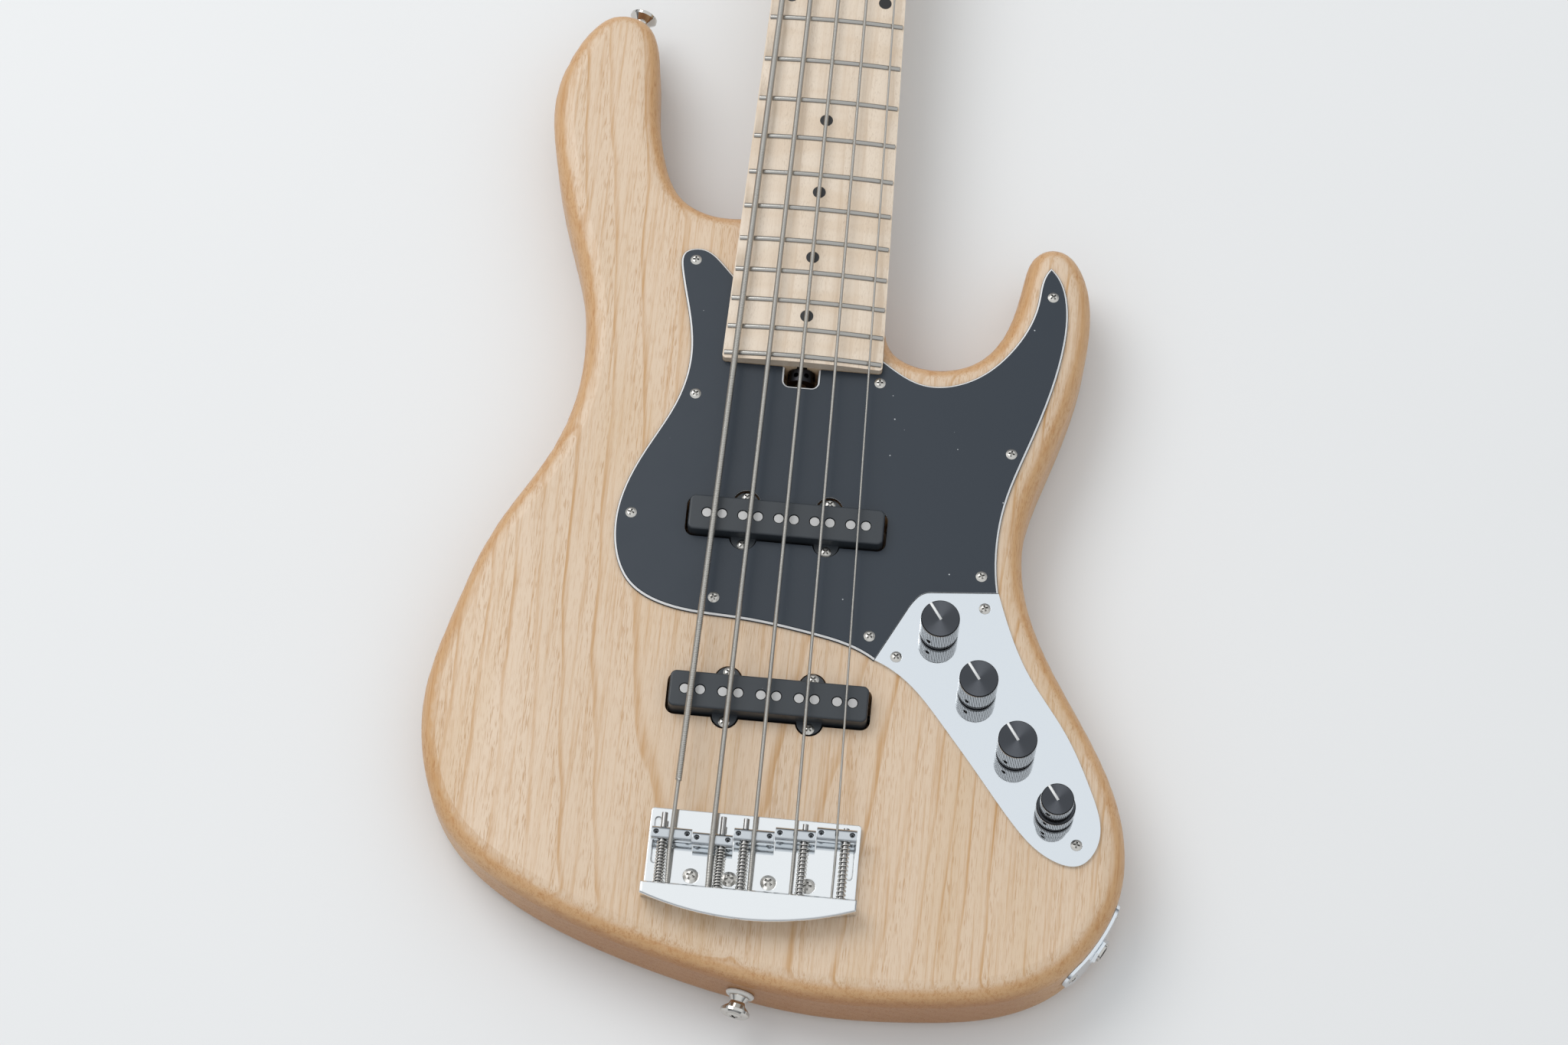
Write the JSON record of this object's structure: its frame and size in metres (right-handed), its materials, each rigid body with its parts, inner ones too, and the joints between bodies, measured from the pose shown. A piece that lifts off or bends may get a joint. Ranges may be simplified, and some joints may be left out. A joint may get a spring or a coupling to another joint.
{
  "type": "electric bass guitar",
  "caption": "Solid-body electric bass guitar with a bolted maple neck, barrel-saddle bridge, bar pickups, knurled control knobs and geared tuners.",
  "frame": {"origin": "point on the flat back of the body, under the centre line at the saddle line", "axes": "+Y along the centre line towards the head, +Z out of the front of the body, +X towards the lower horn"},
  "size_m": [0.3372, 1.1485, 0.0677],
  "materials": {
    "ash": "satin clear finish over open-grained wood",
    "maple": "satin",
    "board": "satin",
    "pickguard": "satin",
    "black_plastic": "matt",
    "chrome": "polished",
    "steel": "bright plated",
    "black_steel": "black oxide",
    "fret_wire": "polished nickel silver",
    "string": "round wound nickel",
    "pole": "ground",
    "pot_metal": "dull",
    "knob": "black anodised top, bright knurled side",
    "marker": "polished",
    "bone": "polished",
    "copper": "enamelled wire",
    "foam": "open cell foam",
    "circuit_board": "glass fibre board",
    "battery": "printed sleeve left plain",
    "lead": "insulation",
    "felt": "pressed felt"
  },
  "bodies": {
    "instrument": {"body": "ash", "pickguard": "pickguard", "control_plate": "chrome", "plate_screws": "steel", "neck": "maple", "fretboard": "board", "frets": "fret_wire", "fret_markers": "marker", "nut": "bone", "truss_rod": "steel", "neck_ferrules": "chrome", "neck_screws": "steel", "pickup_covers": "black_plastic", "pickup_poles": "pole", "pickup_coils": "copper", "pickup_foam": "foam", "pickup_screws": "steel", "bridge_plate": "chrome", "bridge_screws": "steel", "intonation_springs": "steel", "strings": "string", "tuner_housings": "chrome", "tuner_bushings": "chrome", "pots": "pot_metal", "panel_nuts": "chrome", "preamp_board": "circuit_board", "battery": "battery", "battery_cover": "black_plastic", "wiring": "lead", "jack_plate": "chrome", "jack_socket": "chrome", "strap_buttons": "chrome", "strap_screws": "steel", "strap_felts": "felt"},
    "key_1": {"tuner_key_1": "chrome"},
    "post_1": {"tuner_post_1": "chrome"},
    "key_2": {"tuner_key_2": "chrome"},
    "post_2": {"tuner_post_2": "chrome"},
    "key_3": {"tuner_key_3": "chrome"},
    "post_3": {"tuner_post_3": "chrome"},
    "key_4": {"tuner_key_4": "chrome"},
    "post_4": {"tuner_post_4": "chrome"},
    "key_5": {"tuner_key_5": "chrome"},
    "post_5": {"tuner_post_5": "chrome"},
    "intonation_screw_1": {"intonation_screw_1": "steel"},
    "saddle_1": {"saddle_1": "chrome"},
    "intonation_screw_2": {"intonation_screw_2": "steel"},
    "saddle_2": {"saddle_2": "chrome"},
    "intonation_screw_3": {"intonation_screw_3": "steel"},
    "saddle_3": {"saddle_3": "chrome"},
    "intonation_screw_4": {"intonation_screw_4": "steel"},
    "saddle_4": {"saddle_4": "chrome"},
    "intonation_screw_5": {"intonation_screw_5": "steel"},
    "saddle_5": {"saddle_5": "chrome"},
    "volume_knob": {"volume_knob": "knob"},
    "blend_knob": {"blend_knob": "knob"},
    "tone_knob": {"tone_knob": "knob"},
    "stack_lower_knob": {"stack_lower_knob": "knob"},
    "stack_upper_knob": {"stack_upper_knob": "knob"},
    "truss_rod_wheel": {"truss_rod_wheel": "black_steel"}
  },
  "joints": [
    {"name": "tuner_key_1_turn", "type": "hinge", "parent": "instrument", "child": "key_1", "pos_m": [-0.0295, 0.9187, 0.0196], "axis": [-1, 0, 0], "continuous": true},
    {"name": "tuner_post_1_turn", "type": "hinge", "parent": "instrument", "child": "post_1", "pos_m": [-0.0295, 0.9086, 0.0196], "axis": [0, 0, 1], "continuous": true},
    {"name": "tuner_key_2_turn", "type": "hinge", "parent": "instrument", "child": "key_2", "pos_m": [-0.0275, 0.9737, 0.0196], "axis": [-1, 0, 0], "continuous": true},
    {"name": "tuner_post_2_turn", "type": "hinge", "parent": "instrument", "child": "post_2", "pos_m": [-0.0275, 0.9636, 0.0196], "axis": [0, 0, 1], "continuous": true},
    {"name": "tuner_key_3_turn", "type": "hinge", "parent": "instrument", "child": "key_3", "pos_m": [-0.0245, 1.0287, 0.0196], "axis": [-1, 0, 0], "continuous": true},
    {"name": "tuner_post_3_turn", "type": "hinge", "parent": "instrument", "child": "post_3", "pos_m": [-0.0245, 1.0186, 0.0196], "axis": [0, 0, 1], "continuous": true},
    {"name": "tuner_key_4_turn", "type": "hinge", "parent": "instrument", "child": "key_4", "pos_m": [0.0275, 0.9957, 0.0196], "axis": [1, 0, 0], "continuous": true},
    {"name": "tuner_post_4_turn", "type": "hinge", "parent": "instrument", "child": "post_4", "pos_m": [0.0275, 0.9856, 0.0196], "axis": [0, 0, 1], "continuous": true},
    {"name": "tuner_key_5_turn", "type": "hinge", "parent": "instrument", "child": "key_5", "pos_m": [0.0295, 0.9407, 0.0196], "axis": [1, 0, 0], "continuous": true},
    {"name": "tuner_post_5_turn", "type": "hinge", "parent": "instrument", "child": "post_5", "pos_m": [0.0295, 0.9306, 0.0196], "axis": [0, 0, 1], "continuous": true},
    {"name": "saddle_1_slide", "type": "slide", "parent": "instrument", "child": "saddle_1", "axis": [0, 1, 0], "range_m": [-0.004, 0.004], "deforming": ["intonation_springs"]},
    {"name": "intonation_screw_1_turn", "type": "hinge", "parent": "instrument", "child": "intonation_screw_1", "pos_m": [-0.0422, -0.0066, 0.0542], "axis": [0, 1, 0], "range_deg": [-2916, 2916]},
    {"name": "saddle_2_slide", "type": "slide", "parent": "instrument", "child": "saddle_2", "axis": [0, 1, 0], "range_m": [-0.004, 0.004], "deforming": ["intonation_springs"]},
    {"name": "intonation_screw_2_turn", "type": "hinge", "parent": "instrument", "child": "intonation_screw_2", "pos_m": [-0.0148, -0.0081, 0.0551], "axis": [0, 1, 0], "range_deg": [-2916, 2916]},
    {"name": "saddle_3_slide", "type": "slide", "parent": "instrument", "child": "saddle_3", "axis": [0, 1, 0], "range_m": [-0.004, 0.004], "deforming": ["intonation_springs"]},
    {"name": "intonation_screw_3_turn", "type": "hinge", "parent": "instrument", "child": "intonation_screw_3", "pos_m": [-0.0042, -0.0045, 0.0554], "axis": [0, 1, 0], "range_deg": [-2916, 2916]},
    {"name": "saddle_4_slide", "type": "slide", "parent": "instrument", "child": "saddle_4", "axis": [0, 1, 0], "range_m": [-0.004, 0.004], "deforming": ["intonation_springs"]},
    {"name": "intonation_screw_4_turn", "type": "hinge", "parent": "instrument", "child": "intonation_screw_4", "pos_m": [0.0232, -0.0023, 0.0551], "axis": [0, 1, 0], "range_deg": [-2916, 2916]},
    {"name": "saddle_5_slide", "type": "slide", "parent": "instrument", "child": "saddle_5", "axis": [0, 1, 0], "range_m": [-0.004, 0.0025], "deforming": ["intonation_springs"]},
    {"name": "intonation_screw_5_turn", "type": "hinge", "parent": "instrument", "child": "intonation_screw_5", "pos_m": [0.0422, -0.0002, 0.0542], "axis": [0, 1, 0], "range_deg": [-1836, 2916]},
    {"name": "volume_knob_turn", "type": "hinge", "parent": "instrument", "child": "volume_knob", "pos_m": [0.0773, 0.1079, 0.05], "axis": [0, 0, 1], "range_deg": [-150, 150]},
    {"name": "blend_knob_turn", "type": "hinge", "parent": "instrument", "child": "blend_knob", "pos_m": [0.09747, 0.0796, 0.05], "axis": [0, 0, 1], "range_deg": [-150, 150]},
    {"name": "tone_knob_turn", "type": "hinge", "parent": "instrument", "child": "tone_knob", "pos_m": [0.11764, 0.0513, 0.05], "axis": [0, 0, 1], "range_deg": [-150, 150]},
    {"name": "stack_lower_knob_turn", "type": "hinge", "parent": "instrument", "child": "stack_lower_knob", "pos_m": [0.13781, 0.023, 0.05], "axis": [0, 0, 1], "range_deg": [-150, 150]},
    {"name": "stack_upper_knob_turn", "type": "hinge", "parent": "instrument", "child": "stack_upper_knob", "pos_m": [0.13781, 0.023, 0.05], "axis": [0, 0, 1], "range_deg": [-150, 150]},
    {"name": "truss_rod_wheel_turn", "type": "hinge", "parent": "instrument", "child": "truss_rod_wheel", "pos_m": [0, 0.2356, 0.0405], "axis": [0, 1, 0], "range_deg": [-180, 180]}
  ],
  "couplings": [
    {"joint": "tuner_post_1_turn", "follows": "tuner_key_1_turn", "ratio": 0.05},
    {"joint": "tuner_post_2_turn", "follows": "tuner_key_2_turn", "ratio": 0.05},
    {"joint": "tuner_post_3_turn", "follows": "tuner_key_3_turn", "ratio": 0.05},
    {"joint": "tuner_post_4_turn", "follows": "tuner_key_4_turn", "ratio": 0.05},
    {"joint": "tuner_post_5_turn", "follows": "tuner_key_5_turn", "ratio": 0.05},
    {"joint": "intonation_screw_1_turn", "follows": "saddle_1_slide", "rad_per_m": -12566},
    {"joint": "intonation_screw_2_turn", "follows": "saddle_2_slide", "rad_per_m": -12566},
    {"joint": "intonation_screw_3_turn", "follows": "saddle_3_slide", "rad_per_m": -12566},
    {"joint": "intonation_screw_4_turn", "follows": "saddle_4_slide", "rad_per_m": -12566},
    {"joint": "intonation_screw_5_turn", "follows": "saddle_5_slide", "rad_per_m": -12566}
  ]
}
